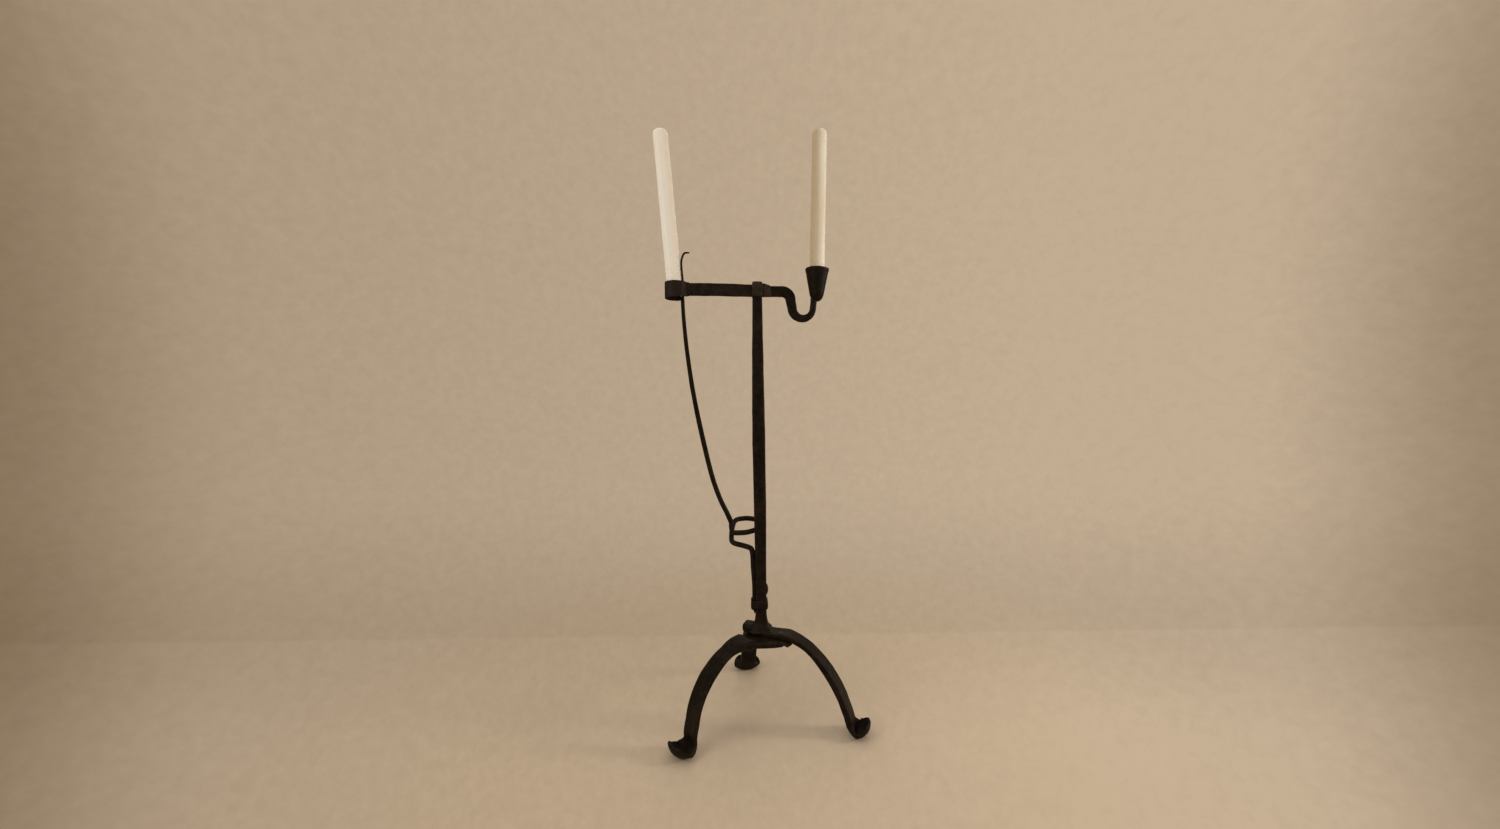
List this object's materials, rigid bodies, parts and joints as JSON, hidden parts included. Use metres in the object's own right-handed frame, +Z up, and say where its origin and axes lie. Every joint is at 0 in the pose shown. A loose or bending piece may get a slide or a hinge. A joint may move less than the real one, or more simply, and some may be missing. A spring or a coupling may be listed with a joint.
{
  "type": "wrought iron candlestick",
  "caption": "Tall forged iron tripod candlestick with an arm whose coiled spring rod clamps a candle in a ring, and an S-shaped branch with a conical candle cup.",
  "frame": {"origin": "On the floor, under the axis of the square stem.", "axes": "+Z up along the stem, +X to the right as the piece is looked at (the side of the conical cup), +Y away from the viewer. The spring arm's ring is on the -X side."},
  "size_m": [0.3146, 0.2719, 0.9208],
  "materials": {
    "iron": "satin, hammered, browned by age",
    "wax": "smooth wax, soft sheen",
    "wick": "waxed cotton cord"
  },
  "bodies": {
    "stand": {"shaft": "iron", "leg_right": "iron", "leg_left": "iron", "leg_back": "iron", "leg_rivet": "iron", "ring_arm": "iron", "candle_ring": "iron", "head_collar": "iron", "cup_branch": "iron", "candle_cup": "iron", "spring_coil": "iron", "spring_rivet": "iron", "tail_collar": "iron"},
    "spring_rod": {"spring_rod": "iron"},
    "candle_left": {"candle_left": "wax", "wick_left": "wick"},
    "candle_right": {"candle_right": "wax", "wick_right": "wick"}
  },
  "joints": [
    {"name": "spring_flex", "type": "hinge", "parent": "stand", "child": "spring_rod", "pos_m": [-0.0464, 0.0397, 0.293], "axis": [0, 1, 0], "range_deg": [0, 0.25], "stiffness_Nm_per_rad": 25, "springref_deg": -2.5},
    {"name": "candle_left_lift", "type": "slide", "parent": "stand", "child": "candle_left", "axis": [-0.0802, 0, 0.9968], "range_m": [-0.004, 0.06]},
    {"name": "candle_right_lift", "type": "slide", "parent": "stand", "child": "candle_right", "axis": [0.0314, 0, 0.9995], "range_m": [0, 0.06]}
  ]
}
